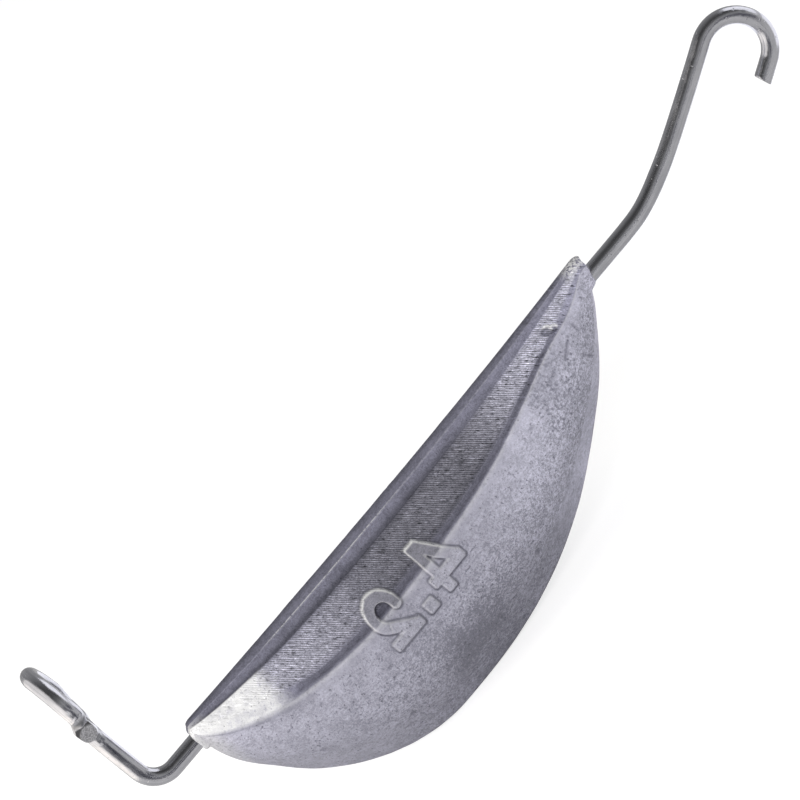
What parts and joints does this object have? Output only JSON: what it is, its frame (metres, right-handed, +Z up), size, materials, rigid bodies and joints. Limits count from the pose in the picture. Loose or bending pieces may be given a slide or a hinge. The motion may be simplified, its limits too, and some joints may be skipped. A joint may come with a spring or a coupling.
{
  "type": "in-line keel fishing sinker",
  "caption": "Boat-shaped cast lead keel sinker on a bent stainless wire, with a closed line eye at one end and an open leader hook at the other.",
  "frame": {"origin": "middle of the closed line eye, on the wire's centre line plane", "axes": "+X along the straight wire from the closed eye to the open hook, +Z up from the keel to the eye, +Y to the far side of the casting, away from the raised figures"},
  "size_m": [0.1264, 0.0222, 0.048],
  "materials": {
    "cast_lead": "dull grey cast lead, mottled, with tool lines on the deck",
    "stainless_wire": "drawn stainless wire, bright, with bending tool marks"
  },
  "bodies": {
    "root": {"lead_body": "cast_lead", "through_wire": "stainless_wire"}
  },
  "joints": []
}
